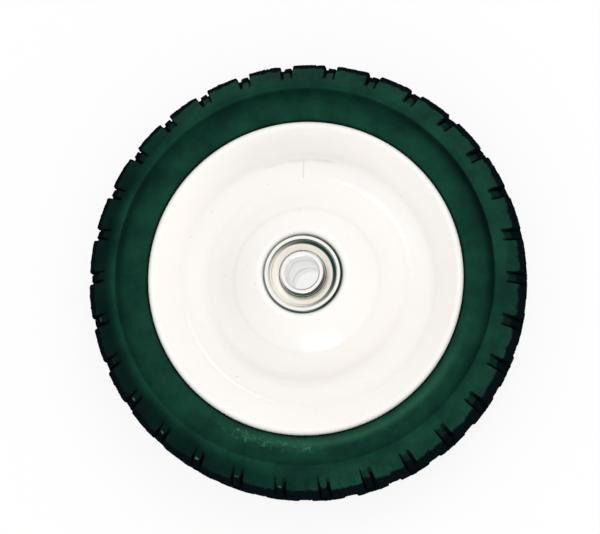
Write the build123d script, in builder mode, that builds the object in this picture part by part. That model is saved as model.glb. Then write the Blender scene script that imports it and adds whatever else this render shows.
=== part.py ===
from build123d import *
import math
import os

# Tyre, in millimetres
tyre_diameter = 200.0
tyre_width = 44.0
shoulder_height = 14.0
crest_land = 2.0
crest_round = 0.8
step_height = 3.0
step_run = 1.4
side_wall_bulge = 1.1
tread_width = 28.0
crown_land = 12.0
shoulder_drop = 3.4
tyre_base_gap = 3.0
seat_clearance = 0.12

# Tread lugs, one row on each shoulder
lug_count = 30
lug_gap = 6.0
groove_depth = 3.0
groove_start = 3.2
floor_corner_inset = 2.0
centre_groove_width = 4.5
bar_width = 3.4
bar_drop = 1.0
bar_setback = 1.6
bar_shift = 0.4
bar_root = 0.5
cutter_margin = 1.0

# Stamped discs
sheet = 1.2
rim_diameter = 143.0
rim_height = 16.4
rim_curl = 1.2
rim_curl_angle = 150.0
web_outer_diameter = 116.0
web_inner_diameter = 93.0
web_outer_bend = 4.0
web_inner_bend = 7.0
boss_diameter = 66.0
boss_share = 0.64
boss_bend = 40.0
hub_bend = 1.8
hub_crest_drop = 0.3
pocket_bend = 1.0
race_clearance = 0.02

# Ball bearings, the same one on both sides
axle_diameter = 15.0
bearing_diameter = 35.0
bearing_width = 11.0
collar_wall = 2.3
collar_height = 3.0
inner_shoulder = 2.2
outer_shoulder = 1.9
race_chamfer = 0.5
ball_diameter = 5.5
ball_count = 8
ball_clearance = 0.1
cage_width = 2.2
cage_low = 1.0
cage_back = 0.55
shield_sheet = 0.4
shield_seat_depth = 1.0
shield_ledge = 1.0
shield_clearance = 0.05
shield_gap = 0.2

# Hub
front_hub_length = 30.5
rear_hub_length = 21.0
spacer_wall = 2.5
spacer_chamfer = 0.4

# Radii and heights that several pieces share
tyre_radius = tyre_diameter / 2
tyre_side = tyre_width / 2
axle_radius = axle_diameter / 2
bearing_radius = bearing_diameter / 2
pitch_radius = (axle_radius + bearing_radius) / 2
ball_radius = ball_diameter / 2
groove_radius = ball_radius + ball_clearance
inner_land = pitch_radius - inner_shoulder
outer_land = pitch_radius + outer_shoulder
shield_seat = outer_land + shield_ledge
half_width = bearing_width / 2
front_centre = front_hub_length - collar_height - half_width
rear_centre = rear_hub_length - collar_height - half_width


def section_plane(side, centre=0.0):
    """Plane of a half section: local x is the radius, local y points out to the given side."""
    return Plane(origin=(0, 0, side * centre), x_dir=(1, 0, 0), z_dir=(0, -side, 0))


def touch_point(start, centre, radius, turn):
    """Point where a line from start touches a circle, on its left for turn 1, right for -1."""
    reach = centre - start
    lean = math.degrees(math.asin(radius / reach.length))
    line = reach.rotate(Axis.Z, turn * lean).normalized()
    return start + line * math.sqrt(reach.length**2 - radius**2)


def save(piece, name):
    """Label a finished piece and write it as its own file."""
    piece.label = name
    export_step(piece, f"parts/{name}.step")


# The rim slope runs from the web's outer bend to the curl, where the sheet rolls outwards.
web_out = Vector(web_outer_diameter / 2, sheet / 2)
web_in = Vector(web_inner_diameter / 2, sheet / 2)
curl_inset = sheet / 2 + rim_curl
curl_centre = Vector(rim_diameter / 2 - curl_inset, rim_height - curl_inset)
slope_end = touch_point(web_out, curl_centre, rim_curl, 1)
slope = (slope_end - web_out).normalized()


def disc_section(hub_length):
    """Face between the two skins of a disc whose bearing collar ends at hub_length."""
    seat = hub_length - collar_height - bearing_width
    wall = bearing_radius + race_clearance + sheet / 2
    crest_top = hub_length - collar_height - hub_crest_drop - sheet / 2
    crest_centre = Vector(wall + hub_bend, crest_top - hub_bend)
    boss_height = web_in.Y + boss_share * (crest_top - web_in.Y)
    boss = Vector(boss_diameter / 2, boss_height)
    cone = touch_point(boss, crest_centre, hub_bend, -1) - boss
    corner = boss + cone * ((wall - boss.X) / cone.X)
    stop = Vector(outer_land + sheet / 2, seat - sheet / 2)
    floor_corner = Vector(wall, seat - sheet / 2)
    with BuildSketch() as section:
        with BuildLine():
            bends = [pocket_bend, hub_bend, boss_bend, web_inner_bend, web_outer_bend]
            path = FilletPolyline(
                stop, floor_corner, corner, boss, web_in, web_out, slope_end, radius=bends
            )
            JernArc(path @ 1, path % 1, rim_curl, -rim_curl_angle)
            offset(amount=sheet / 2, side=Side.BOTH)
        make_face()
    return section.sketch


def stamped_disc(side, hub_length):
    """One pressed half of the wheel: bearing pocket, domed boss, web, rim slope and curled edge."""
    profile = disc_section(hub_length)
    with BuildPart() as disc:
        with BuildSketch(section_plane(side)):
            add(profile)
        revolve(axis=Axis.Z)
    return disc.part


# Tyre outline from its base, up the rim slope, over the shoulder to the crown
seat_normal = Vector(slope.Y, -slope.X)
seat_start = web_out + seat_normal * (sheet / 2 + seat_clearance)
base_radius = web_outer_diameter / 2 + tyre_base_gap


def seat_point(height):
    """Point of the tyre's seat, parallel to the rim slope, at a height above mid-plane."""
    return seat_start + slope * ((height - seat_start.Y) / slope.Y)


base_corner = seat_start + slope * ((base_radius - seat_start.X) / slope.X)
shelf_height = curl_centre.Y - rim_curl - seat_clearance
shelf_start = seat_point(shelf_height)
shelf_end = Vector(rim_diameter / 2 + seat_clearance, shelf_height)
wall_start = Vector(shelf_end.X, curl_centre.Y)
crest_start = Vector(tyre_radius - shoulder_height, tyre_side)
crest_end = crest_start + Vector(crest_land, 0)
wall_end = Vector(crest_start.X - step_run, tyre_side - step_height)
lug_edge = Vector(tyre_radius - shoulder_drop, tread_width / 2)
crown_edge = Vector(tyre_radius, crown_land / 2)
crown_run = lug_edge.Y - crown_edge.Y
crown_radius = (crown_run**2 + shoulder_drop**2) / (2 * shoulder_drop)

# Grooves between the lugs: they start on the shoulder and run down to the centre groove.
shoulder = lug_edge - crest_end
groove_top = crest_end + shoulder.normalized() * groove_start
floor_corner = lug_edge - Vector(groove_depth, floor_corner_inset)
floor_radius = tyre_radius - groove_depth
centre_edge = centre_groove_width / 2
outside_radius = tyre_radius + cutter_margin
outside_height = tyre_side + cutter_margin
gap_angle = math.degrees(lug_gap / tyre_radius)
bar_angle = math.degrees(bar_width / tyre_radius)
shift_angle = math.degrees(bar_shift / tyre_radius)
lug_pitch = 360 / lug_count


def swept_section(side, outline, angle):
    """Sweep a closed outline of the half section about the axle, centred on the X axis."""
    with BuildPart() as sector:
        with BuildSketch(section_plane(side).rotated((0, -side * angle / 2, 0))):
            with BuildLine():
                Polyline(*outline, close=True)
            make_face()
        revolve(axis=Axis.Z, revolution_arc=side * angle)
    return sector.part


gap_outline = [
    groove_top,
    floor_corner,
    Vector(floor_radius, centre_edge),
    Vector(outside_radius, centre_edge),
    Vector(outside_radius, outside_height),
    Vector(groove_top.X, outside_height),
]
bar_end = centre_edge + bar_setback
bar_outline = [
    groove_top - Vector(bar_root, bar_root),
    groove_top,
    lug_edge - Vector(bar_drop, bar_drop),
    crown_edge - Vector(bar_drop, 0),
    Vector(tyre_radius - bar_drop, bar_end),
    Vector(floor_radius - bar_root, bar_end),
    floor_corner - Vector(bar_root, bar_root),
]
front_gap = swept_section(1, gap_outline, gap_angle)
rear_gap = swept_section(-1, gap_outline, gap_angle)
front_bar = swept_section(1, bar_outline, bar_angle)
rear_bar = swept_section(-1, bar_outline, bar_angle)

with BuildPart() as tyre:
    with BuildSketch(Plane.XZ):
        with BuildLine():
            Polyline((base_radius, 0), base_corner, shelf_start, shelf_end, wall_start)
            SagittaArc(wall_start, wall_end, side_wall_bulge)
            FilletPolyline(
                wall_end, crest_start, crest_end, lug_edge, radius=[crest_round, crest_round]
            )
            RadiusArc(lug_edge, crown_edge, crown_radius)
            Polyline(crown_edge, (tyre_radius, 0), (base_radius, 0))
        make_face()
        mirror(about=Plane.XZ)
    revolve(axis=Axis.Z)
    with BuildSketch(Plane.XZ):
        with Locations((floor_radius, 0)):
            groove_reach = outside_radius - floor_radius
            Rectangle(groove_reach, centre_groove_width, align=(Align.MIN, Align.CENTER))
    revolve(axis=Axis.Z, mode=Mode.SUBTRACT)
    with PolarLocations(0, lug_count):
        add(front_gap, mode=Mode.SUBTRACT)
    with PolarLocations(0, lug_count, start_angle=lug_pitch / 2):
        add(rear_gap, mode=Mode.SUBTRACT)
    with PolarLocations(0, lug_count, start_angle=-shift_angle):
        add(front_bar)
    with PolarLocations(0, lug_count, start_angle=lug_pitch / 2 + shift_angle):
        add(rear_bar)


def outer_race(side, centre):
    """Ring pressed into the disc, with a raceway and a seat for a shield at each end."""
    with BuildPart() as race:
        with BuildSketch(section_plane(side, centre)) as section:
            with Locations((bearing_radius, 0)):
                ring_depth = bearing_radius - outer_land
                Rectangle(ring_depth, bearing_width, align=(Align.MAX, Align.CENTER))
            chamfer(section.vertices().group_by(Axis.X)[-1], race_chamfer)
            with Locations((0, half_width), (0, -half_width)):
                Rectangle(2 * shield_seat, 2 * shield_seat_depth, mode=Mode.SUBTRACT)
            with Locations((pitch_radius, 0)):
                Circle(groove_radius, mode=Mode.SUBTRACT)
        revolve(axis=Axis.Z)
    return race.part


def inner_race(side, centre):
    """Ring on the axle, with a raceway and a collar that stands out of the hub."""
    with BuildPart() as race:
        with BuildSketch(section_plane(side, centre)) as section:
            with Locations((axle_radius, -half_width)):
                collar_length = bearing_width + collar_height
                Rectangle(collar_wall, collar_length, align=Align.MIN)
            chamfer(section.vertices(), race_chamfer)
            with Locations((axle_radius + race_chamfer, 0)):
                land = inner_land - axle_radius - race_chamfer
                land_width = bearing_width - 2 * race_chamfer
                Rectangle(land, land_width, align=(Align.MIN, Align.CENTER))
            with Locations((pitch_radius, 0)):
                Circle(groove_radius, mode=Mode.SUBTRACT)
        revolve(axis=Axis.Z)
    return race.part


def cage(side, centre):
    """Crown cage: a ring behind the balls with fingers between them."""
    with BuildPart() as crown_cage:
        with BuildSketch(section_plane(side, centre)):
            with Locations((pitch_radius, cage_low)):
                cage_height = cage_low + groove_radius + cage_back
                Rectangle(cage_width, cage_height, align=(Align.CENTER, Align.MAX))
        revolve(axis=Axis.Z)
        with Locations((0, 0, side * centre)):
            with PolarLocations(pitch_radius, ball_count):
                Sphere(groove_radius, mode=Mode.SUBTRACT)
    return crown_cage.part


def shield(side, centre, end):
    """Pressed sheet cover of the bearing's outer end (1) or inner end (-1)."""
    rim_level = half_width - shield_seat_depth + shield_sheet / 2
    cover_level = groove_radius + cage_back + shield_gap + shield_sheet / 2
    step_radius = outer_land - shield_clearance - shield_sheet / 2
    rim_radius = shield_seat - shield_clearance - shield_sheet / 2
    lip_radius = inner_land + shield_gap + shield_sheet / 2
    with BuildPart() as cover:
        with BuildSketch(section_plane(side * end, end * centre)):
            with BuildLine():
                Polyline(
                    (rim_radius, rim_level),
                    (step_radius, rim_level),
                    (step_radius, cover_level),
                    (lip_radius, cover_level),
                )
                offset(amount=shield_sheet / 2, side=Side.BOTH)
            make_face()
        revolve(axis=Axis.Z)
    return cover.part


def ball(side, centre, number):
    """One ball of a bearing, on the pitch circle."""
    spot = Vector(pitch_radius, 0, side * centre).rotate(Axis.Z, number * 360 / ball_count)
    with BuildPart() as sphere:
        with Locations(spot):
            Sphere(ball_radius)
    return sphere.part


with BuildPart() as spacer_tube:
    with BuildSketch(Plane.XZ) as wall_section:
        with Locations((axle_radius, half_width - rear_centre)):
            spacer_length = front_centre + rear_centre - bearing_width
            Rectangle(spacer_wall, spacer_length, align=Align.MIN)
        chamfer(wall_section.vertices(), spacer_chamfer)
    revolve(axis=Axis.Z)

os.makedirs("parts", exist_ok=True)
save(tyre.part, "tyre")
save(spacer_tube.part, "spacer_tube")
for name, side, centre, hub_length in (
    ("front", 1, front_centre, front_hub_length),
    ("rear", -1, rear_centre, rear_hub_length),
):
    save(stamped_disc(side, hub_length), f"{name}_disc")
    save(outer_race(side, centre), f"{name}_outer_race")
    save(inner_race(side, centre), f"{name}_inner_race")
    save(cage(side, centre), f"{name}_cage")
    save(shield(side, centre, 1), f"{name}_outer_shield")
    save(shield(side, centre, -1), f"{name}_inner_shield")
    for number in range(ball_count):
        save(ball(side, centre, number), f"{name}_ball_{number + 1}")
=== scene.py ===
from collections import namedtuple
from math import asin, atan2, ceil, copysign, cos, hypot, pi, radians, sin, sqrt, tan

import bmesh
import bpy
from bpy.props import FloatProperty, FloatVectorProperty, IntProperty, PointerProperty
from bpy.types import NodeSocket, Operator, Panel, PropertyGroup
from mathutils import Matrix, Vector


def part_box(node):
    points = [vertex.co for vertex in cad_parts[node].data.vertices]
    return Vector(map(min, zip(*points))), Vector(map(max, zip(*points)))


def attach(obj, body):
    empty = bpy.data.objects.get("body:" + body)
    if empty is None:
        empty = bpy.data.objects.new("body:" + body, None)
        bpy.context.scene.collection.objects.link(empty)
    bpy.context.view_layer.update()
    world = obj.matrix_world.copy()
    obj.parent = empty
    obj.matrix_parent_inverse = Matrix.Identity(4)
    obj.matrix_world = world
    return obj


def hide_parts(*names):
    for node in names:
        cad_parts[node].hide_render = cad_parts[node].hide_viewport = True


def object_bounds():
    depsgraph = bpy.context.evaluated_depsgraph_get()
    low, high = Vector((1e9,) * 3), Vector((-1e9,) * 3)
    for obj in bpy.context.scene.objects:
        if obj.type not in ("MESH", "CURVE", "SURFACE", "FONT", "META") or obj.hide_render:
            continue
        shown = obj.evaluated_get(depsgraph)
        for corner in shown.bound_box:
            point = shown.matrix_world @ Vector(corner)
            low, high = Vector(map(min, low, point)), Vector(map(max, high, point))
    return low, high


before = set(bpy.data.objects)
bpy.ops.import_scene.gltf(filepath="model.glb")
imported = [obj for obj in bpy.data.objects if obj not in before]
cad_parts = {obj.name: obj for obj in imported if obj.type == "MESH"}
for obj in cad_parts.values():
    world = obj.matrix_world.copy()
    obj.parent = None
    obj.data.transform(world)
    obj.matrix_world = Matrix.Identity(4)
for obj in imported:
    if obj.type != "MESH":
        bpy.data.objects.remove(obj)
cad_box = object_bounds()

bl_info = {
    "name": "Steel Wheel",
    "version": (1, 0, 0),
    "blender": (4, 5, 0),
    "location": "3D View > Sidebar > Wheel",
    "description": "Lugged rubber tyre on two pressed steel discs with ball bearings",
    "category": "Add Mesh",
}

MM = 0.001
MERGE_DISTANCE = 0.002 * MM
SAME_ANGLE = 1e-4
FULL_TURN = 2 * pi
ARC_STEP = radians(11)
ROUND_STEPS = 160
SMOOTH_ANGLE = radians(36)
SHARP_ANGLE = radians(60)
SIDES = {"front": 1, "rear": -1}
WHITE = (1, 1, 1, 1)

# Rows of the tread: shares of the way down a gap's side, and of half the tread's width
GAP_ROW_SHARES = (0, 0.3, 0.65, 1)
LUG_ROW_SHARES = (0.82, 0.63)

# Largest share of a gap's depth that a rounded edge takes up
ROUND_LIMIT = 0.5

Seam = namedtuple("Seam", "start spread side thin")

tyre_low, tyre_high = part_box("tyre")
disc_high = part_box("front_disc")[1]
race_low, race_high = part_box("front_outer_race")


def number(name, description, value, **kind):
    """A number that a user may change, with its unit or limits."""
    return FloatProperty(name=name, description=description, default=value, **kind)


def length(name, description, metres):
    """A size in metres."""
    return number(name, description, metres, precision=5, unit="LENGTH")


def angle(name, description, degrees):
    """An angle, written in degrees."""
    return number(name, description, radians(degrees), subtype="ANGLE")


def share(name, description, value):
    """A share from 0 to 1."""
    return number(name, description, value, min=0, max=1, subtype="FACTOR")


def position(name, description, *metres):
    """A place in the frame."""
    return FloatVectorProperty(
        name=name, description=description, default=metres, subtype="TRANSLATION"
    )


def linear(byte):
    """Linear light of one colour channel written from 0 to 255."""
    value = byte / 255
    return value / 12.92 if value <= 0.04045 else ((value + 0.055) / 1.055) ** 2.4


def colour(name, description, red, green, blue):
    """A colour, written from 0 to 255 a channel."""
    return FloatVectorProperty(
        name=name,
        description=description,
        default=(linear(red), linear(green), linear(blue)),
        min=0,
        max=1,
        size=3,
        subtype="COLOR",
    )


class TyreSettings(PropertyGroup):
    """Sizes and colours of the tyre."""

    radius: length("Radius", "From the axle to the top of the crown", 100 * MM)
    width: length("Width", "Over both shoulders", tyre_high.z - tyre_low.z)
    shoulder_height: length("Shoulder height", "From the shoulder's crest to the crown", 14 * MM)
    crest_land: length("Crest land", "Flat top of the shoulder", 2 * MM)
    crest_round: length("Crest round", "Rounding of the shoulder's crest", 0.8 * MM)
    step_height: length("Step height", "Step from the side wall up to the shoulder", 3 * MM)
    step_run: length("Step run", "Width of that step", 1.4 * MM)
    side_wall_bulge: length("Side wall bulge", "Rise of the side wall at its middle", 1.1 * MM)
    tread_width: length("Tread width", "Between the lugs' outer edges", 28 * MM)
    crown_land: length("Crown land", "Flat middle of the tread", 12 * MM)
    shoulder_drop: length("Shoulder drop", "From the crown down to the lugs' edges", 3.4 * MM)
    base_gap: length("Base gap", "From the discs' bend to the tyre's base", 3 * MM)
    seat_clearance: length("Seat clearance", "Between the tyre and the discs", 0.12 * MM)
    lug_count: IntProperty(name="Lugs", description="Lugs on each shoulder", default=30, min=3)
    lug_gap: length("Lug gap", "Between two lugs", 6 * MM)
    groove_depth: length("Groove depth", "Depth of the gap below the crown", 3 * MM)
    groove_start: length("Groove start", "From the crest to the top of a gap", 3.2 * MM)
    corner_inset: length("Corner inset", "Bend of the groove's floor", 2 * MM)
    centre_groove: length("Centre groove", "Width of the groove between the two rows", 4.5 * MM)
    bar_width: length("Bar width", "Width of the narrow bar in each gap", 3.4 * MM)
    bar_drop: length("Bar drop", "How far a bar lies below the lugs", 1 * MM)
    bar_shift: length("Bar shift", "From a gap's middle to its bar", 0.4 * MM)
    bar_setback: length("Bar setback", "From the centre groove to a bar", 1.6 * MM)
    edge_round: length("Edge round", "Rounding of the lugs' edges", 0.35 * MM)
    wall_draft: length("Wall draft", "Lean of the lugs' walls", 0.35 * MM)
    wear: length("Wear", "Unevenness of the worn lugs", 0.3 * MM)
    wear_seed: IntProperty(name="Wear seed", description="Choice of the unevenness", default=7)
    rubber: colour("Rubber", "Colour of the side wall", 20, 67, 51)
    shade: colour("Rubber shade", "Darker patches of the rubber", 13, 47, 38)
    # Near-black of the tread is painted shade, the colour of an unlit face; the painted shadows on
    # the rubber mix towards it as well
    tread: colour("Tread", "Colour of the tread and its grooves", 9, 16, 20)
    # The dust colour also paints the sheen near the rim and the glints on the bars' ends, which
    # are painted highlights
    dust: colour("Dust", "Dust on the side wall", 88, 158, 124)


class DiscSettings(PropertyGroup):
    """Sizes and colours of the pressed discs."""

    sheet: length("Sheet", "Thickness of the sheet", 1.2 * MM)
    rim_radius: length("Rim radius", "Outer edge of the curl", disc_high.x)
    rim_height: length("Rim height", "Top of the curl above the mid-plane", 16.4 * MM)
    curl: length("Curl", "Radius of the curled edge", 1.2 * MM)
    curl_turn: angle("Curl turn", "How far the edge is rolled", 150)
    web_outer_radius: length("Web outer radius", "Where the rim slope meets the web", 58 * MM)
    web_inner_radius: length("Web inner radius", "Where the cone meets the web", 46.5 * MM)
    web_outer_bend: length("Web outer bend", "Radius of that bend", 4 * MM)
    web_inner_bend: length("Web inner bend", "Radius of that bend", 7 * MM)
    boss_radius: length("Boss radius", "Where the boss bends over", 33 * MM)
    boss_share: share("Boss share", "Share of the hub's height that the boss has there", 0.64)
    boss_bend: length("Boss bend", "Radius of that bend", 40 * MM)
    hub_bend: length("Hub bend", "Radius of the crest at the hub", 1.8 * MM)
    crest_drop: length("Crest drop", "From the race's face down to the crest", 0.3 * MM)
    pocket_bend: length("Pocket bend", "Radius at the pocket's floor", 1 * MM)
    race_clearance: length("Race clearance", "Between the pocket and the race", 0.02 * MM)
    edge_break: length("Edge break", "Rounding of the sheet's edges", 0.2 * MM)
    paint: colour("Paint", "Colour of the enamel", 251, 249, 246)
    paint_shade: colour("Paint shade", "Slightly warmer patches of the enamel", 248, 243, 238)
    # This brown paints real specks and a hairline, and also the painted shade line above the web's
    # bend
    dirt_and_shade: colour("Dirt", "Brown dirt in the bends", 168, 140, 112)


class BearingSettings(PropertyGroup):
    """Sizes and colours of the ball bearings."""

    bore_radius: length("Bore radius", "Radius of the axle", 7.5 * MM)
    outer_radius: length("Outer radius", "Radius of the outer race", race_high.x)
    width: length("Width", "Width of the outer race", race_high.z - race_low.z)
    collar_height: length("Collar height", "Inner race standing out of the hub", 3 * MM)
    front_hub_length: length(
        "Front hub length", "Mid-plane to the front collar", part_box("front_inner_race")[1].z
    )
    rear_hub_length: length(
        "Rear hub length", "Mid-plane to the rear collar", -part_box("rear_inner_race")[0].z
    )
    inner_shoulder: length("Inner shoulder", "Pitch circle to the inner land", 2.2 * MM)
    outer_shoulder: length("Outer shoulder", "Pitch circle to the outer land", 1.9 * MM)
    groove_radius: length("Raceway radius", "Radius of the raceway's section", 2.85 * MM)
    cage_back: length("Cage back", "Ring of the cage behind the balls", 0.55 * MM)
    shield_sheet: length("Shield sheet", "Thickness of a shield", 0.4 * MM)
    shield_seat_depth: length("Shield seat depth", "Depth of the seat in the race", 1 * MM)
    shield_ledge: length("Shield ledge", "Width of the seat", 1 * MM)
    shield_clearance: length("Shield clearance", "Around a shield", 0.05 * MM)
    shield_gap: length("Shield gap", "Shield to the inner land", 0.2 * MM)
    shield_bend: length("Shield bend", "Radius of a shield's bends", 0.25 * MM)
    shield_edge_break: length("Shield edge break", "Rounding of a shield's edges", 0.08 * MM)
    race_steel: colour("Race steel", "Colour of the races", 246, 245, 241)
    shield_steel: colour("Shield steel", "Colour of the shields", 240, 234, 222)
    tube_steel: colour("Tube steel", "Colour of the spacer tube", 250, 250, 248)
    ball_steel: colour("Ball steel", "Colour of the balls", 228, 228, 228)
    cage_plastic: colour("Cage", "Colour of the moulded cage", 160, 148, 122)
    # Painted shade: this dark colour in the seams of the races and shields stands for shadow,
    # widest on the side turned from the light
    seam_shade: colour("Oil", "Dark oil in the seams", 30, 62, 54)


class StageSettings(PropertyGroup):
    """Camera, light and floor."""

    distance: length("Distance", "From the camera to its target", 1.2)
    tilt: angle("Tilt", "Angle of the view off the axle", 9.98)
    turn: angle("Turn", "Side from which the view is tilted", 57.57)
    roll: angle("Roll", "Turn of the picture", 0.8)
    focal_length: number("Focal length", "Lens of the camera", 157.4, unit="CAMERA")
    target: position("Target", "Point at the picture's middle", -3.72 * MM, 6.89 * MM, 0)
    floor_size: length("Floor size", "Side of the floor", 12.0)
    floor: colour("Floor", "Colour of the floor", 250, 250, 250)
    floor_glow: share("Floor glow", "Share of plain white in the floor as seen", 0.86)
    sky: number("Sky", "Light from all round", 0.895, min=0)
    key_power: number("Key power", "Power of the soft lamp", 6.7, unit="POWER")
    key_place: position("Key place", "Place of the soft lamp", 0.55, 1.0, 1.5)
    key_size: length("Key size", "Side of the soft lamp", 1.0)
    window_power: number("Window power", "Power of the small window", 1.15, unit="POWER")
    window_place: position("Window place", "Small window that the boss mirrors", 0.17, -0.79, 0.2)
    window_width: length("Window width", "Width of that window", 0.56)
    window_height: length("Window height", "Height of that window", 0.27)


# Plane geometry: a point of a half section has the radius as x and the height as y

def across(direction):
    """Direction turned a quarter to the left."""
    return Vector((-direction.y, direction.x))


def turned(vector, turn):
    """Vector turned to the left by an angle."""
    return vector * cos(turn) + across(vector) * sin(turn)


def touch_point(start, centre, radius, side):
    """Point where a line from start touches a circle, on its left for side 1, right for -1."""
    reach = centre - start
    lean = asin(radius / reach.length)
    line = turned(reach, side * lean).normalized()
    return start + line * sqrt(reach.length_squared - radius**2)


class Section:
    """A half section drawn in edit mode, point by point, and then turned about the axle."""

    def __init__(self, name, start):
        if bpy.context.mode != "OBJECT":
            bpy.ops.object.mode_set(mode="OBJECT")
        bpy.ops.object.select_all(action="DESELECT")
        bpy.ops.mesh.primitive_plane_add(size=MM, location=(0, 0, 0))
        self.piece = bpy.context.object
        self.piece.name = name
        self.piece.data.name = name
        bpy.ops.object.mode_set(mode="EDIT")
        bpy.ops.mesh.select_all(action="SELECT")
        bpy.ops.mesh.merge(type="CENTER")
        bpy.ops.transform.translate(value=(start.x, 0, start.y))
        self.here = start

    def line_to(self, *points):
        """Straight on to each point."""
        for point in points:
            step = point - self.here
            bpy.ops.mesh.extrude_vertices_move(
                TRANSFORM_OT_translate={"value": (step.x, 0, step.y)}
            )
            self.here = point

    def arc(self, centre, turn):
        """Round a centre, to the left for a positive turn."""
        steps = max(2, ceil(abs(turn) / ARC_STEP))
        middle = (centre.x, 0, centre.y)
        bpy.ops.mesh.spin(steps=steps, angle=turn, center=middle, axis=(0, 1, 0))
        self.here = centre + turned(self.here - centre, turn)

    def bend(self, corner, onward, radius):
        """Towards a corner and round it, to face the onward point."""
        before = (corner - self.here).normalized()
        after = (onward - corner).normalized()
        turn = atan2(before.cross(after), before.dot(after))
        self.line_to(corner - before * (radius * tan(abs(turn) / 2)))
        self.arc(self.here + across(before) * copysign(radius, turn), turn)

    def turn_round(self):
        """Spin the whole section once about the axle."""
        bpy.ops.mesh.select_all(action="SELECT")
        bpy.ops.mesh.spin(steps=ROUND_STEPS, angle=FULL_TURN, center=(0, 0, 0), axis=(0, 0, -1))

    def set_side(self, side, centre=0):
        """Mirror the piece to its side of the wheel and move it along the axle."""
        bpy.ops.mesh.select_all(action="SELECT")
        bpy.ops.transform.resize(value=(1, 1, side), center_override=(0, 0, 0))
        bpy.ops.transform.translate(value=(0, 0, centre))

    def join_seams(self):
        """Merge all points that lie at one place."""
        bpy.ops.mesh.select_all(action="SELECT")
        bpy.ops.mesh.remove_doubles(threshold=MERGE_DISTANCE)

    def close(self):
        """Join the seams, turn the faces outwards and leave edit mode."""
        self.join_seams()
        bpy.ops.mesh.normals_make_consistent(inside=False)
        bpy.ops.object.mode_set(mode="OBJECT")
        return self.piece


def apply_modifier(piece, kind, **settings):
    """Add a modifier with its settings and apply it."""
    modifier = piece.modifiers.new(kind.title(), kind)
    for key, value in settings.items():
        setattr(modifier, key, value)
    bpy.context.view_layer.objects.active = piece
    bpy.ops.object.modifier_apply(modifier=modifier.name)


def thicken(piece, sheet, edge):
    """Give a sheet its thickness about its middle and break its edges."""
    apply_modifier(piece, "SOLIDIFY", thickness=sheet, offset=0, use_rim=True)
    apply_modifier(
        piece, "BEVEL", width=edge, segments=2, limit_method="ANGLE", angle_limit=SHARP_ANGLE
    )


def finish_piece(piece, material, body, slot, *nodes):
    """Smooth, paint and seat a finished piece in place of its solids."""
    bpy.ops.object.select_all(action="DESELECT")
    piece.select_set(True)
    bpy.context.view_layer.objects.active = piece
    bpy.ops.object.shade_smooth_by_angle(angle=SMOOTH_ANGLE)
    piece.data.materials.clear()
    piece.data.materials.append(material)
    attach(piece, body)
    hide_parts(*nodes)


# Radii that several pieces share

def pitch_radius(bearing):
    """Radius of the circle on which the balls run."""
    return (bearing.bore_radius + bearing.outer_radius) / 2


def crest_radius(tyre):
    """Radius where the shoulder's crest starts."""
    return tyre.radius - tyre.shoulder_height


def crest_end_radius(tyre):
    """Radius where that crest ends."""
    return crest_radius(tyre) + tyre.crest_land


# Shape of the discs and the shields

def rim_points(disc):
    """Bends of the sheet's middle from the web out to the curl."""
    web_in = Vector((disc.web_inner_radius, disc.sheet / 2))
    web_out = Vector((disc.web_outer_radius, disc.sheet / 2))
    inset = disc.sheet / 2 + disc.curl
    curl_centre = Vector((disc.rim_radius - inset, disc.rim_height - inset))
    return web_in, web_out, curl_centre, touch_point(web_out, curl_centre, disc.curl, 1)


def build_disc(name, side, hub_length, disc, bearing):
    """One pressed disc: stop flange, pocket, crest, domed boss, web, rim slope and curl."""
    web_in, web_out, curl_centre, slope_end = rim_points(disc)
    half_sheet = disc.sheet / 2
    race_face = hub_length - bearing.collar_height
    pocket_hole = pitch_radius(bearing) + bearing.outer_shoulder
    floor = race_face - bearing.width - half_sheet
    wall = bearing.outer_radius + disc.race_clearance + half_sheet
    crest_top = race_face - disc.crest_drop - half_sheet
    crest = Vector((wall + disc.hub_bend, crest_top - disc.hub_bend))
    wall_top = Vector((wall, crest.y))
    boss = Vector((disc.boss_radius, half_sheet + disc.boss_share * (crest_top - half_sheet)))
    outward = touch_point(boss, crest, disc.hub_bend, -1) - crest
    section = Section(name, Vector((pocket_hole + half_sheet, floor)))
    section.bend(Vector((wall, floor)), wall_top, disc.pocket_bend)
    section.line_to(wall_top)
    section.arc(crest, atan2(outward.y, outward.x) - pi)
    section.bend(boss, web_in, disc.boss_bend)
    section.bend(web_in, web_out, disc.web_inner_bend)
    section.bend(web_out, slope_end, disc.web_outer_bend)
    section.line_to(slope_end)
    section.arc(curl_centre, -disc.curl_turn)
    section.turn_round()
    section.set_side(side)
    piece = section.close()
    thicken(piece, disc.sheet, disc.edge_break)
    return piece


def build_shield(name, facing, middle, bearing):
    """One pressed shield whose cover faces the given way along the axle."""
    half_sheet = bearing.shield_sheet / 2
    pitch = pitch_radius(bearing)
    land = pitch + bearing.outer_shoulder
    inset = bearing.shield_clearance + half_sheet
    rim_level = bearing.width / 2 - bearing.shield_seat_depth + half_sheet
    cover_level = (
        bearing.groove_radius + bearing.cage_back + bearing.shield_gap + half_sheet
    )
    rim = Vector((land + bearing.shield_ledge - inset, rim_level))
    step_top = Vector((land - inset, rim_level))
    step_foot = Vector((land - inset, cover_level))
    lip = Vector((pitch - bearing.inner_shoulder + bearing.shield_gap + half_sheet, cover_level))
    section = Section(name, rim)
    section.bend(step_top, step_foot, bearing.shield_bend)
    section.bend(step_foot, lip, bearing.shield_bend)
    section.line_to(lip)
    section.turn_round()
    section.set_side(facing, middle)
    piece = section.close()
    thicken(piece, bearing.shield_sheet, bearing.shield_edge_break)
    return piece


# Shape of the tyre

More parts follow.
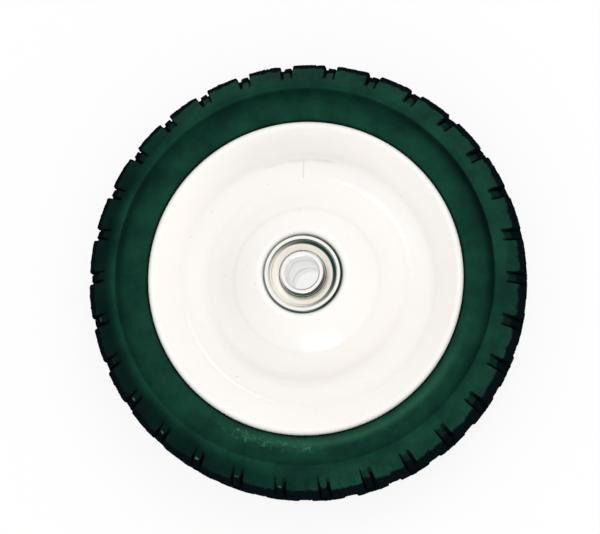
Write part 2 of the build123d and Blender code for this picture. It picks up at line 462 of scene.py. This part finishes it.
def side_points(tyre, disc):
    """Points of the tyre's section from its base up to the top of the gaps."""
    web_out, curl_centre, slope_end = rim_points(disc)[1:]
    slope = (slope_end - web_out).normalized()
    seat = web_out - across(slope) * (disc.sheet / 2 + tyre.seat_clearance)
    base_radius = disc.web_outer_radius + tyre.base_gap
    shelf = curl_centre.y - disc.curl - tyre.seat_clearance
    rim_edge = disc.rim_radius + tyre.seat_clearance
    crest = Vector((crest_radius(tyre), tyre.width / 2))
    return {
        "base": seat + slope * ((base_radius - seat.x) / slope.x),
        "shelf_start": seat + slope * ((shelf - seat.y) / slope.y),
        "shelf_end": Vector((rim_edge, shelf)),
        "wall_start": Vector((rim_edge, curl_centre.y)),
        "wall_end": crest - Vector((tyre.step_run, tyre.step_height)),
        "crest_start": crest,
        "crest_end": crest + Vector((tyre.crest_land, 0)),
    }


def crown_point(tyre, height):
    """Point of the tread's top: a flat land in the middle and a round to each lug edge."""
    run = (tyre.tread_width - tyre.crown_land) / 2
    arc = (run**2 + tyre.shoulder_drop**2) / (2 * tyre.shoulder_drop)
    past_land = max(0, height - tyre.crown_land / 2)
    return Vector((tyre.radius - arc + sqrt(arc**2 - past_land**2), height))


def tread_rows(tyre, crest_end):
    """Rows of one tread side, from the top of a gap to the centre groove.

    Each row has its point on a lug, on the floor of a gap and on the bar in that gap.
    """
    half_tread = tyre.tread_width / 2
    lug_edge = crown_point(tyre, half_tread)
    gap_top = crest_end + (lug_edge - crest_end).normalized() * tyre.groove_start
    floor_bend = lug_edge - Vector((tyre.groove_depth, tyre.corner_inset))
    floor_end = Vector((tyre.radius - tyre.groove_depth, tyre.centre_groove / 2))
    bar_edge = lug_edge - Vector((tyre.bar_drop, tyre.bar_drop))
    bar_crown = Vector((tyre.radius - tyre.bar_drop, tyre.crown_land / 2))
    bar_foot = floor_end.y + tyre.bar_setback
    ends = (lug_edge, floor_bend, bar_edge)
    rows = [tuple(gap_top.lerp(end, part) for end in ends) for part in GAP_ROW_SHARES]
    heights = (
        *(part * half_tread for part in LUG_ROW_SHARES),
        bar_crown.y,
        bar_foot + tyre.wall_draft,
        bar_foot,
        floor_end.y + tyre.edge_round,
        floor_end.y,
    )
    for height in heights:
        lug = crown_point(tyre, height)
        floor = floor_bend.lerp(floor_end, (half_tread - height) / (half_tread - floor_end.y))
        if height >= bar_crown.y:
            bar = bar_edge.lerp(bar_crown, (half_tread - height) / (half_tread - bar_crown.y))
        else:
            bar = Vector((bar_crown.x, height)) if height > bar_foot else floor
        rows.append((lug, floor, bar))
    rows[-1] = (rows[-1][0] - Vector((tyre.edge_round, 0)), floor_end, floor_end)
    return rows


def draw_tyre_section(section, points, rows, tyre):
    """Draw the tyre's closed section: up one side, over the tread and down the other."""
    mirrored = Vector((1, -1))
    wall_start = points["wall_start"]
    wall_end = points["wall_end"]
    crest_start = points["crest_start"]
    crest_end = points["crest_end"]
    chord = wall_end - wall_start
    outward = across(chord.normalized())
    bulge = tyre.side_wall_bulge
    bulge_radius = (chord.length_squared / 4 + bulge**2) / (2 * bulge)
    half_turn = asin(chord.length / 2 / bulge_radius)
    middle = (wall_start + wall_end) / 2 + outward * bulge
    bulge_centre = middle - outward * bulge_radius
    tops = [row[0] for row in rows]
    floor_edge = Vector((rows[-1][1].x, rows[-1][1].y - tyre.wall_draft))
    section.line_to(points["shelf_start"], points["shelf_end"], wall_start)
    section.arc(bulge_centre, -2 * half_turn)
    section.bend(crest_start, crest_end, tyre.crest_round)
    section.bend(crest_end, tops[0], tyre.crest_round)
    section.line_to(*tops, floor_edge)
    section.line_to(floor_edge * mirrored, *[top * mirrored for top in reversed(tops)])
    section.bend(crest_end * mirrored, crest_start * mirrored, tyre.crest_round)
    section.bend(crest_start * mirrored, wall_end * mirrored, tyre.crest_round)
    section.line_to(wall_end * mirrored)
    section.arc(bulge_centre * mirrored, -2 * half_turn)
    for name in ("shelf_end", "shelf_start", "base"):
        section.line_to(points[name] * mirrored)
    section.line_to(points["base"])


def gap_columns(tyre):
    """Signed angles from a gap's middle to its columns, with the kind of surface at each."""
    gap = tyre.lug_gap / 2 / tyre.radius
    bar = tyre.bar_width / 2 / tyre.radius
    shift = tyre.bar_shift / tyre.radius
    edge = tyre.edge_round / tyre.radius
    draft = tyre.wall_draft / tyre.radius
    columns = [(0, "bar")]
    for way in (1, -1):
        columns += [
            (way * (bar - edge) - shift, "bar"),
            (way * bar - shift, "bar_edge"),
            (way * (bar + draft) - shift, "floor"),
            (way * (gap - draft), "floor"),
            (way * gap, "lug_edge"),
            (way * (gap + edge), "lug"),
        ]
    return columns


def select_points(piece, wanted):
    """Select the points whose place is wanted, and say whether there are any."""
    bpy.ops.mesh.select_all(action="DESELECT")
    mesh = bmesh.from_edit_mesh(piece.data)
    chosen = [vertex for vertex in mesh.verts if wanted(vertex.co)]
    for vertex in chosen:
        vertex.select_set(True)
    mesh.select_flush_mode()
    bmesh.update_edit_mesh(piece.data)
    return bool(chosen)


def select_row(piece, point, columns):
    """Select the points of the section's row at a point, in the given columns."""

    def in_row(place):
        if hypot(hypot(place.x, place.y) - point.x, place.z - point.y) >= MERGE_DISTANCE:
            return False
        here = atan2(place.y, place.x)
        return any(abs(here - column) < SAME_ANGLE for column in columns)

    if not select_points(piece, in_row):
        raise RuntimeError(f"no points of the tread lie at {tuple(point)}")


def move_row(piece, old, new, columns):
    """Move a row of the section to a new radius and height, in the given columns."""
    if (new - old).length < MERGE_DISTANCE:
        return
    select_row(piece, old, columns)
    reach = new.x / old.x
    bpy.ops.transform.resize(value=(reach, reach, 1), center_override=(0, 0, 0))
    bpy.ops.transform.translate(value=(0, 0, new.y - old.y))


def row_targets(row, edge_round):
    """Where a row lies on each kind of column other than a plain lug."""
    lug, floor, bar = row

    def rounded(top):
        depth = max((floor - top).length, MERGE_DISTANCE)
        return top.lerp(floor, min(ROUND_LIMIT, edge_round / depth))

    return {"lug_edge": rounded(lug), "floor": floor, "bar_edge": rounded(bar), "bar": bar}


def shape_gaps(piece, rows, side, middles, tyre):
    """Sink the gaps between the lugs of one side and leave a bar in each."""
    sided = Vector((1, side))
    for kind in ("lug_edge", "floor", "bar_edge", "bar"):
        offsets = [offset for offset, name in gap_columns(tyre) if name == kind]
        columns = [middle + side * offset for middle in middles for offset in offsets]
        for row in rows:
            target = row_targets(row, tyre.edge_round)[kind]
            move_row(piece, row[0] * sided, target * sided, columns)


def build_tyre(tyre, disc):
    """The tyre: one pitch of the tread is modelled, then repeated round the axle."""
    points = side_points(tyre, disc)
    rows = tread_rows(tyre, points["crest_end"])
    pitch = FULL_TURN / tyre.lug_count
    section = Section("tyre_rubber_body", points["base"])
    draw_tyre_section(section, points, rows, tyre)
    section.join_seams()
    offsets = [offset for offset, kind in gap_columns(tyre)]
    stops = {pitch / 4, 3 * pitch / 4}
    stops.update(pitch / 2 - offset for offset in offsets)
    stops.update(offset if offset > 0 else pitch + offset for offset in offsets)
    here = 0
    for stop in sorted(stops):
        bpy.ops.mesh.spin(steps=1, angle=stop - here, center=(0, 0, 0), axis=(0, 0, -1))
        here = stop
    shape_gaps(section.piece, rows, 1, (0, pitch), tyre)
    shape_gaps(section.piece, rows, -1, (pitch / 2,), tyre)
    bpy.ops.mesh.select_all(action="SELECT")
    bpy.ops.mesh.spin(
        steps=tyre.lug_count - 1,
        dupli=True,
        angle=FULL_TURN - pitch,
        center=(0, 0, 0),
        axis=(0, 0, -1),
    )
    section.join_seams()
    return section


def wear_lugs(section, tyre, inner_radius):
    """Make the lugs slightly uneven, inside the tyre's own outline."""
    select_points(section.piece, lambda place: hypot(place.x, place.y) > inner_radius)
    shrink = 1 - tyre.wear / tyre.radius
    bpy.ops.transform.resize(value=(shrink, shrink, 1), center_override=(0, 0, 0))
    bpy.ops.transform.vertex_random(offset=tyre.wear, seed=tyre.wear_seed)


# Materials

class Finish:
    """A material with its node tree, and short ways to add nodes to it."""

    def __init__(self, name):
        self.material = bpy.data.materials.new(name)
        self.material.use_nodes = True
        self.tree = self.material.node_tree
        self.shader = self.tree.nodes["Principled BSDF"]
        self.place = self.node("ShaderNodeTexCoord").outputs["Object"]

    def plug(self, socket, value):
        """Link a socket to another one, or give it a value."""
        if isinstance(value, NodeSocket):
            self.tree.links.new(value, socket)
        else:
            socket.default_value = value

    def node(self, kind, inputs=None, **settings):
        """Add a node, with its settings and its inputs as values or sockets."""
        added = self.tree.nodes.new(kind)
        for key, value in settings.items():
            setattr(added, key, value)
        for key, value in (inputs or {}).items():
            self.plug(added.inputs[key], value)
        return added

    def math(self, operation, *values):
        """A number worked out from one to three others."""
        return self.node("ShaderNodeMath", dict(enumerate(values)), operation=operation).outputs[0]

    def product(self, first, *others):
        """All values multiplied."""
        for other in others:
            first = self.math("MULTIPLY", first, other)
        return first

    def largest(self, first, *others):
        """The largest of the values."""
        for other in others:
            first = self.math("MAXIMUM", first, other)
        return first

    def noise(self, scale, detail=4.0, roughness=0.6, place=None):
        """Cloudy pattern from 0 to 1, with scale in cells per metre."""
        inputs = {
            "Vector": place or self.place, "Scale": scale, "Detail": detail, "Roughness": roughness
        }
        return self.node("ShaderNodeTexNoise", inputs).outputs["Fac"]

    def ramp(self, value, low, high, start=0.0, end=1.0):
        """Smooth change from start to end while value goes from low to high."""
        inputs = {0: value, 1: low, 2: high, 3: start, 4: end}
        node = self.node("ShaderNodeMapRange", inputs, interpolation_type="SMOOTHSTEP")
        return node.outputs[0]

    def mix(self, part, first, second):
        """Colour between two others."""
        node = self.node("ShaderNodeMix", {0: part}, data_type="RGBA")
        for key, value in ((6, first), (7, second)):
            self.plug(node.inputs[key], value if isinstance(value, NodeSocket) else (*value, 1))
        return node.outputs[2]

    def radius(self):
        """Distance from the axle."""
        flat = self.node(
            "ShaderNodeVectorMath", {0: self.place, 1: (1, 1, 0)}, operation="MULTIPLY"
        )
        return self.node(
            "ShaderNodeVectorMath", {0: flat.outputs[0]}, operation="LENGTH"
        ).outputs["Value"]

    def band(self, value, low, high, soft):
        """1 between two values, falling to 0 over a soft edge at each."""
        rise = self.ramp(value, low - soft, low + soft)
        return self.product(rise, self.ramp(value, high - soft, high + soft, start=1.0, end=0.0))

    def axes(self):
        """The three Object coordinates."""
        return self.node("ShaderNodeSeparateXYZ", {0: self.place}).outputs

    def bump(self, height, strength, distance):
        """Give the shader a relief from a height."""
        inputs = {"Height": height, "Strength": strength, "Distance": distance}
        bump = self.node("ShaderNodeBump", inputs)
        self.tree.links.new(bump.outputs["Normal"], self.shader.inputs["Normal"])

    def set(self, **values):
        """Set or link the shader's inputs, with _ for spaces in their names."""
        for key, value in values.items():
            self.plug(self.shader.inputs[key.replace("_", " ")], value)


def below_shoulder(finish, radius, height, tyre):
    """Depth below the plain slope of the shoulder, from the crest to the lugs' edges."""
    crest = Vector((crest_end_radius(tyre), tyre.width / 2))
    normal = across(crown_point(tyre, tyre.tread_width / 2) - crest).normalized()
    above = finish.math("ABSOLUTE", height)
    reach = finish.math("MULTIPLY_ADD", radius, normal.x, -normal.dot(crest))
    return finish.math("MULTIPLY", finish.math("MULTIPLY_ADD", above, normal.y, reach), -1.0)


def step_shadow(finish, radius, axes, tyre):
    """Shadow below the step up to the shoulder, with a dark line at the left and right."""
    crest = crest_radius(tyre)
    soft = finish.ramp(radius, crest - 12 * MM, crest - 1 * MM, end=0.42)
    sharp = finish.ramp(radius, crest - 5 * MM, crest - 1.2 * MM)
    right = finish.ramp(axes["X"], 20 * MM, 95 * MM, end=0.55)
    left = finish.ramp(axes["X"], -60 * MM, -95 * MM, end=0.4)
    both = finish.math("ADD", soft, finish.product(sharp, finish.largest(right, left)))
    inside = finish.ramp(radius, crest - 0.5 * tyre.step_run, crest, start=1.0, end=0.0)
    upper = finish.ramp(axes["Y"], -70 * MM, 50 * MM, start=0.35)
    return finish.product(both, inside, upper)


def shoulder_shadow(finish, radius, axes, turn, tyre):
    """Painted shade on the shoulder, darker to the left where it is turned from the light, and
    dark radial streaks low down.
    """
    crest = crest_radius(tyre)
    leftward = finish.math("MULTIPLY_ADD", axes["Y"], 0.35, axes["X"])
    past_crest = finish.ramp(radius, crest - 2 * MM, crest + 5.5 * MM)
    # Painted shade: the shoulder grows darker towards the left, the side turned from the light
    by_side = finish.ramp(leftward, -5 * MM, -90 * MM, start=0.06, end=0.77)
    old = finish.product(by_side, past_crest)
    round_path = finish.math("MULTIPLY", turn, tyre.radius)
    out_path = finish.math("MULTIPLY", radius, 0.12)
    path = finish.node("ShaderNodeCombineXYZ", {0: round_path, 1: out_path}).outputs[0]
    streaks = finish.ramp(finish.noise(1100, detail=2, place=path), 0.48, 0.7, end=0.35)
    low_down = finish.ramp(axes["Y"], -70 * MM, -88 * MM)
    on_shoulder = finish.ramp(radius, crest - 0.2 * MM, crest + 0.4 * MM)
    return finish.product(finish.largest(old, finish.product(streaks, low_down)), on_shoulder)


def gap_shadow(finish, radius, axes, depth, tyre):
    """Dark gaps with darker bars in them, fading at the top and the lower left."""
    crest_end = crest_end_radius(tyre)
    slit = finish.ramp(depth, 0.8 * MM, 3 * MM)
    bar = finish.ramp(depth, 0.35 * MM, 0.75 * MM, end=0.7)
    past_crest = finish.ramp(radius, crest_end, crest_end + 1 * MM)
    lower_left = finish.math("ADD", axes["X"], axes["Y"])
    return finish.product(
        finish.largest(slit, bar),
        past_crest,
        finish.ramp(lower_left, -110 * MM, -20 * MM, start=0.15),
        finish.ramp(axes["Y"], 70 * MM, 92 * MM, start=1.0, end=0.3),
    )


def tread_part(finish, radius, axes, tyre):
    """Tread with its grooves, up to a ragged line near the lugs' edges: painted shade, given the
    near-black of an unlit face.
    """
    shoulder = crest_end_radius(tyre)
    edge = tyre.tread_width / 2
    above = finish.math("ABSOLUTE", axes["Z"])
    ragged = finish.noise(190, detail=4, roughness=0.7)
    uneven = finish.math("MULTIPLY_ADD", ragged, -4.2 * MM, above)
    return finish.product(
        finish.ramp(uneven, edge - 1.5 * MM, edge - 2.7 * MM),
        finish.ramp(radius, shoulder + 1 * MM, shoulder + 3 * MM),
    )


def dust_and_sheen(finish, radius, axes, rim_edge):
    """Dust on the low side wall as a speckled patch on its left, and a thin film of painted sheen
    near the rim, low down and to the right.
    """
    by_rim = finish.band(radius, rim_edge + 2 * MM, rim_edge + 7.5 * MM, soft=1.5 * MM)
    low_side = finish.ramp(axes["Y"], -62 * MM, -70 * MM)
    left_side = finish.band(axes["X"], -36 * MM, 8 * MM, soft=8 * MM)
    specks = finish.ramp(finish.noise(380, detail=5, roughness=0.7), 0.48, 0.7, end=0.38)
    # Painted sheen: a light film near the rim, low down and to the right, where the side wall
    # catches the light
    sheen_veil = finish.product(
        finish.band(radius, rim_edge + 2.5 * MM, rim_edge + 5.5 * MM, soft=2 * MM),
        finish.ramp(axes["Y"], -5 * MM, -60 * MM, end=0.15),
        finish.ramp(axes["X"], -50 * MM, 0.0),
    )
    return finish.largest(finish.product(by_rim, low_side, left_side, specks), sheen_veil)


def tip_glints(finish, radius, axes, turn, depth, tyre):
    """Painted highlights: small glints on the bars' ends at the lower left, where they catch the
    light.
    """
    lug_edge = tyre.radius - tyre.shoulder_drop
    pitches = tyre.lug_count / FULL_TURN
    bars = finish.math("MULTIPLY_ADD", turn, pitches, pitches * tyre.bar_shift / tyre.radius)
    off_bar = finish.math("ABSOLUTE", finish.math("WRAP", bars, 0.5, -0.5))
    arc = pitches / tyre.radius
    return finish.product(
        finish.ramp(off_bar, 0.2 * MM * arc, 1.4 * MM * arc, start=1.0, end=0.0),
        finish.ramp(finish.noise(170), 0.35, 0.6, start=0.5),
        finish.band(depth, 0.9 * MM, 1.6 * MM, soft=0.2 * MM),
        finish.band(radius, lug_edge - 1.9 * MM, lug_edge - 1.1 * MM, soft=0.5 * MM),
        finish.ramp(axes["X"], 20 * MM, -20 * MM),
        finish.ramp(axes["Y"], 0.0, -40 * MM),
    )


def rubber_finish(tyre, rim_edge):
    """Moulded rubber: mottled side wall, painted shade below the step, on the shoulder, in the
    gaps and along the rim, a tread painted as shade, a little dust and painted highlights.
    """
    finish = Finish("tyre_rubber")
    radius = finish.radius()
    axes = finish.axes()
    turn = finish.math("ARCTAN2", axes["Y"], axes["X"])
    depth = below_shoulder(finish, radius, axes["Z"], tyre)
    clouds = finish.noise(60, detail=5, roughness=0.65)
    grain = finish.noise(900, detail=3, roughness=0.7)
    side_wall = finish.mix(finish.ramp(clouds, 0.3, 0.7), tyre.shade, tyre.rubber)
    # Painted shade on the rubber, mixed towards the tread's near-black: below the step, on the
    # shoulder, in the gaps, along the rim and over the tread
    shaded = finish.largest(
        step_shadow(finish, radius, axes, tyre),
        shoulder_shadow(finish, radius, axes, turn, tyre),
        finish.product(gap_shadow(finish, radius, axes, depth, tyre), 0.85),
        # Painted contact shadow: a dark line on the rubber just outside the disc's rim
        finish.ramp(radius, rim_edge + 0.3 * MM, rim_edge + 1.4 * MM, start=0.85, end=0.0),
        tread_part(finish, radius, axes, tyre),
    )
    # Real dust together with painted highlights: the sheen near the rim and the glints on the
    # bars' ends
    pale = finish.largest(
        dust_and_sheen(finish, radius, axes, rim_edge),
        tip_glints(finish, radius, axes, turn, depth, tyre),
    )
    finish.set(
        Base_Color=finish.mix(pale, finish.mix(shaded, side_wall, tyre.tread), tyre.dust),
        Roughness=finish.ramp(grain, 0.2, 0.8, start=0.55, end=0.75),
        Specular_IOR_Level=finish.ramp(shaded, 0.0, 0.5, start=0.03, end=0.0),
    )
    finish.bump(finish.math("ADD", grain, clouds), strength=0.25, distance=0.12 * MM)
    return finish.material


def enamel_finish(disc):
    """Gloss enamel with slight warmth, specks, a hairline and a brown line of painted shade above
    the web's bend at the top.
    """
    finish = Finish("disc_paint")
    radius = finish.radius()
    axes = finish.axes()
    clouds = finish.noise(16, detail=3)
    paint = finish.mix(clouds, disc.paint, disc.paint_shade)
    specks = finish.ramp(finish.noise(700, detail=2, roughness=0.5), 0.735, 0.77)
    bend = disc.web_outer_radius
    # Painted shade: a soft brown line along the top of the web's bend, on the disc's upper side
    # only, stands for the bend's shadow
    by_bend = finish.band(radius, bend - 2 * MM, bend - 1 * MM, soft=0.9 * MM)
    upper = finish.ramp(axes["Y"], 48 * MM, 54 * MM)
    middle = finish.band(axes["X"], -20 * MM, 12 * MM, soft=4 * MM)
    patchy = finish.ramp(finish.noise(130, detail=5), 0.35, 0.65, start=0.25)
    bend_shade = finish.product(by_bend, upper, middle, patchy)
    wander = finish.math("MULTIPLY_ADD", clouds, 1.2 * MM, axes["X"])
    hairline = finish.product(
        finish.band(wander, -2.2 * MM, -1.8 * MM, soft=0.25 * MM),
        finish.band(axes["Y"], 48 * MM, 56 * MM, soft=0.5 * MM),
    )
    # Real specks and hairline with the painted shade line, all in one brown
    dirt_and_shade = finish.product(finish.largest(specks, bend_shade, hairline), 0.34)
    ripple = finish.noise(320, detail=2)
    finish.set(
        Base_Color=finish.mix(dirt_and_shade, paint, disc.dirt_and_shade),
        Roughness=finish.ramp(clouds, 0.0, 1.0, start=0.1, end=0.16),
    )
    finish.bump(ripple, strength=0.03, distance=0.1 * MM)
    return finish.material


def turned_steel_finish(name, steel, seam_shade, seams, rough, stain):
    """Bright steel with fine rings from turning, slight staining and painted shade in its seams.

    A seam has the radius it starts from, how far its painted shade spreads outwards (inwards if
    negative), the side of the wheel where it spreads most, like a shadow crescent, and the share
    of it on the opposite side.
    """
    finish = Finish(name)
    radius = finish.radius()
    axes = finish.axes()
    path = finish.node("ShaderNodeCombineXYZ", {0: radius, 1: axes["Z"]}).outputs[0]
    rings = finish.noise(9000, detail=2, place=path)
    stains = finish.noise(240, detail=4)
    darker = [channel * (1 - stain) for channel in steel]
    metal = finish.mix(stains, steel, darker)
    for seam in seams:
        along = finish.math("MULTIPLY", axes["X"], cos(seam.side))
        toward = finish.math("MULTIPLY_ADD", axes["Y"], sin(seam.side), along)
        part = finish.ramp(toward, -seam.start, 0.9 * seam.start, start=seam.thin)
        past_start = finish.math("SUBTRACT", radius, seam.start)
        reach = finish.math("DIVIDE", past_start, seam.spread)
        left_over = finish.math("SUBTRACT", part, reach)
        ring = finish.product(finish.ramp(reach, -0.15, 0.05), finish.ramp(left_over, -0.1, 0.25))
        metal = finish.mix(finish.product(ring, part), metal, seam_shade)
    finish.set(
        Base_Color=metal,
        Metallic=1.0,
        Roughness=finish.ramp(rings, 0.3, 0.7, start=rough - 0.08, end=rough + 0.08),
    )
    finish.bump(rings, strength=0.12, distance=0.02 * MM)
    return finish.material


def polished_steel_finish(name, steel):
    """Polished balls with a faint film of grease."""
    finish = Finish(name)
    film = finish.noise(500, detail=3)
    darker = [channel * 0.8 for channel in steel]
    finish.set(
        Base_Color=finish.mix(film, steel, darker),
        Metallic=1.0,
        Roughness=finish.ramp(film, 0.3, 0.7, start=0.06, end=0.16),
    )
    return finish.material


def cage_finish(name, plastic):
    """Moulded plastic of the cage with an uneven greasy shine."""
    finish = Finish(name)
    film = finish.noise(400, detail=4)
    darker = [channel * 0.75 for channel in plastic]
    finish.set(
        Base_Color=finish.mix(film, plastic, darker),
        Roughness=finish.ramp(film, 0.3, 0.7, start=0.35, end=0.6),
    )
    finish.bump(film, strength=0.15, distance=0.05 * MM)
    return finish.material


def paint_nodes(material, *names):
    """Give CAD nodes a material."""
    for name in names:
        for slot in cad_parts[name].material_slots:
            slot.material = material


# Stage

def background_part(tree):
    """1 for rays that should see the plain background: from the camera, a mirror or glass."""
    path = tree.nodes.new("ShaderNodeLightPath")
    part = path.outputs["Is Camera Ray"]
    for name in ("Is Glossy Ray", "Is Transmission Ray"):
        either = tree.nodes.new("ShaderNodeMath")
        either.operation = "MAXIMUM"
        tree.links.new(part, either.inputs[0])
        tree.links.new(path.outputs[name], either.inputs[1])
        part = either.outputs[0]
    return part


def mix_shaders(tree, part, lit, plain, output):
    """Show a lit shader, and a plain one for its part of the rays."""
    mixed = tree.nodes.new("ShaderNodeMixShader")
    for index, socket in enumerate((part, lit.outputs[0], plain.outputs[0])):
        tree.links.new(socket, mixed.inputs[index])
    tree.links.new(mixed.outputs[0], tree.nodes[output].inputs["Surface"])


def floor_finish(stage):
    """Pale floor that looks white and still keeps a soft shadow."""
    finish = Finish("floor_paper")
    tint = [channel * 0.97 for channel in stage.floor]
    finish.set(Base_Color=finish.mix(finish.noise(3), stage.floor, tint), Roughness=0.9)
    glow = finish.node("ShaderNodeEmission", {"Color": WHITE, "Strength": 1.0})
    seen = finish.math("MULTIPLY", background_part(finish.tree), stage.floor_glow)
    mix_shaders(finish.tree, seen, finish.shader, glow, "Material Output")
    return finish.material


def light_world(stage):
    """Even light from all round, seen as plain white."""
    world = bpy.data.worlds.new("studio")
    bpy.context.scene.world = world
    world.use_nodes = True
    tree = world.node_tree
    light = tree.nodes["Background"]
    plain = tree.nodes.new("ShaderNodeBackground")
    for node, strength in ((light, stage.sky), (plain, 1.0)):
        node.inputs["Color"].default_value = WHITE
        node.inputs["Strength"].default_value = strength
    mix_shaders(tree, background_part(tree), light, plain, "World Output")


def aim(thing, place, target, roll=0.0):
    """Put a lamp or camera at a place, looking at a target, with the frame's +Y upwards."""
    back = (place - target).normalized()
    right = Vector((0, 1, 0)).cross(back).normalized()
    up = back.cross(right)
    turn = Matrix((right, up, back)).transposed() @ Matrix.Rotation(roll, 3, "Z")
    thing.matrix_world = Matrix.Translation(place) @ turn.to_4x4()


class WHEEL_OT_tyre(Operator):
    """Model the lugged tyre and seat it on the discs"""

    bl_idname = "wheel.tyre"
    bl_label = "Tyre"

    def execute(self, context):
        tyre = context.scene.wheel_tyre
        disc = context.scene.wheel_disc
        section = build_tyre(tyre, disc)
        wear_lugs(section, tyre, crest_end_radius(tyre) + tyre.groove_start)
        piece = section.close()
        rubber = rubber_finish(tyre, disc.rim_radius)
        finish_piece(piece, rubber, "wheel", "tyre_rubber", "tyre")
        return {"FINISHED"}


class WHEEL_OT_discs(Operator):
    """Model the two pressed discs that hold the tyre"""

    bl_idname = "wheel.discs"
    bl_label = "Discs"

    def execute(self, context):
        disc = context.scene.wheel_disc
        bearing = context.scene.wheel_bearing
        enamel = enamel_finish(disc)
        for name, side in SIDES.items():
            hub_length = getattr(bearing, f"{name}_hub_length")
            piece = build_disc(f"{name}_pressed_disc", side, hub_length, disc, bearing)
            finish_piece(piece, enamel, "wheel", "disc_paint", f"{name}_disc")
        return {"FINISHED"}


class WHEEL_OT_shields(Operator):
    """Model the pressed shields of both bearings"""

    bl_idname = "wheel.shields"
    bl_label = "Shields"

    def execute(self, context):
        bearing = context.scene.wheel_bearing
        lip = pitch_radius(bearing) - bearing.inner_shoulder
        step = pitch_radius(bearing) + bearing.outer_shoulder
        # Painted shadow in the seams at the shields' lips and below their steps, widest on one
        # side
        seams = [
            Seam(lip, spread=0.15 * MM, side=radians(-60), thin=0.4),
            Seam(step + 0.7 * MM, spread=-1.8 * MM, side=radians(35), thin=0.3),
        ]
        steel = turned_steel_finish(
            "shield_steel", bearing.shield_steel, bearing.seam_shade, seams, rough=0.34, stain=0.14
        )
        for name, side in SIDES.items():
            hub_length = getattr(bearing, f"{name}_hub_length")
            middle = side * (hub_length - bearing.collar_height - bearing.width / 2)
            for end, facing in (("outer", side), ("inner", -side)):
                node = f"{name}_{end}_shield"
                piece = build_shield(f"{node}_cover", facing, middle, bearing)
                finish_piece(piece, steel, "wheel", "shield_steel", node)
        return {"FINISHED"}


class WHEEL_OT_bearings(Operator):
    """Finish the races, balls, cages and the tube between the bearings"""

    bl_idname = "wheel.bearings"
    bl_label = "Bearings"

    def execute(self, context):
        bearing = context.scene.wheel_bearing
        races = [f"{name}_{ring}_race" for name in SIDES for ring in ("outer", "inner")]
        balls = [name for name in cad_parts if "_ball_" in name]
        cages = [f"{name}_cage" for name in SIDES]
        outside = bearing.outer_radius
        collar = pitch_radius(bearing) - bearing.inner_shoulder
        # Painted shadow in the seams at the races' outer edge, the shields' step and round the
        # collar, widest on one side
        seams = [
            Seam(outside + 0.1 * MM, spread=-0.8 * MM, side=radians(-10), thin=0.8),
            Seam(outside - 1.95 * MM, spread=-0.3 * MM, side=radians(70), thin=0.45),
            Seam(collar - 0.2 * MM, spread=-0.75 * MM, side=radians(-65), thin=0.3),
        ]
        steel = turned_steel_finish(
            "race_steel", bearing.race_steel, bearing.seam_shade, seams, rough=0.24, stain=0.1
        )
        paint_nodes(steel, *races)
        steel = turned_steel_finish(
            "tube_steel", bearing.tube_steel, bearing.seam_shade, [], rough=0.26, stain=0.05
        )
        paint_nodes(steel, "spacer_tube")
        paint_nodes(polished_steel_finish("ball_steel", bearing.ball_steel), *balls)
        paint_nodes(cage_finish("cage_plastic", bearing.cage_plastic), *cages)
        return {"FINISHED"}


class WHEEL_OT_stage(Operator):
    """Set up the floor, the light and the camera"""

    bl_idname = "wheel.stage"
    bl_label = "Stage"

    def execute(self, context):
        stage = context.scene.wheel_stage
        bpy.ops.object.select_all(action="DESELECT")
        bpy.ops.mesh.primitive_plane_add(size=stage.floor_size, location=(0, 0, cad_box[0].z))
        floor = context.object
        floor.name = "floor"
        floor.data.materials.append(floor_finish(stage))
        light_world(stage)
        bpy.ops.object.light_add(type="AREA")
        key = context.object
        key.data.energy = stage.key_power
        key.data.size = stage.key_size
        aim(key, Vector(stage.key_place), Vector((0, 0, 0)))
        bpy.ops.object.light_add(type="AREA")
        window = context.object
        window.data.energy = stage.window_power
        window.data.shape = "RECTANGLE"
        window.data.size = stage.window_width
        window.data.size_y = stage.window_height
        place = Vector(stage.window_place)
        facing = place.to_track_quat("Z", "Y").to_matrix()
        window.matrix_world = Matrix.Translation(place) @ facing.to_4x4()
        bpy.ops.object.camera_add()
        camera = context.object
        camera.data.lens = stage.focal_length
        target = Vector(stage.target)
        lean = sin(stage.tilt)
        view = Vector((lean * cos(stage.turn), -lean * sin(stage.turn), cos(stage.tilt)))
        aim(camera, target + view * stage.distance, target, stage.roll)
        context.scene.camera = camera
        context.scene.view_settings.view_transform = "Standard"
        return {"FINISHED"}


class WHEEL_PT_panel(Panel):
    """Sizes and steps of the wheel"""

    bl_label = "Steel Wheel"
    bl_idname = "WHEEL_PT_panel"
    bl_space_type = "VIEW_3D"
    bl_region_type = "UI"
    bl_category = "Wheel"

    def draw(self, context):
        for step in STEPS:
            self.layout.operator(step.bl_idname)
        for group, settings in GROUPS.items():
            box = self.layout.box()
            box.label(text=settings.__doc__)
            for name in settings.__annotations__:
                box.prop(getattr(context.scene, group), name)


GROUPS = {
    "wheel_tyre": TyreSettings,
    "wheel_disc": DiscSettings,
    "wheel_bearing": BearingSettings,
    "wheel_stage": StageSettings,
}
STEPS = (WHEEL_OT_tyre, WHEEL_OT_discs, WHEEL_OT_shields, WHEEL_OT_bearings, WHEEL_OT_stage)
CLASSES = (*GROUPS.values(), *STEPS, WHEEL_PT_panel)


def register():
    for made in CLASSES:
        bpy.utils.register_class(made)
    for group, settings in GROUPS.items():
        setattr(bpy.types.Scene, group, PointerProperty(type=settings))


def unregister():
    for group in GROUPS:
        delattr(bpy.types.Scene, group)
    for made in reversed(CLASSES):
        bpy.utils.unregister_class(made)


def main():
    register()
    bpy.ops.wheel.tyre()
    bpy.ops.wheel.discs()
    bpy.ops.wheel.shields()
    bpy.ops.wheel.bearings()
    bpy.ops.wheel.stage()


if __name__ == "__main__":
    main()
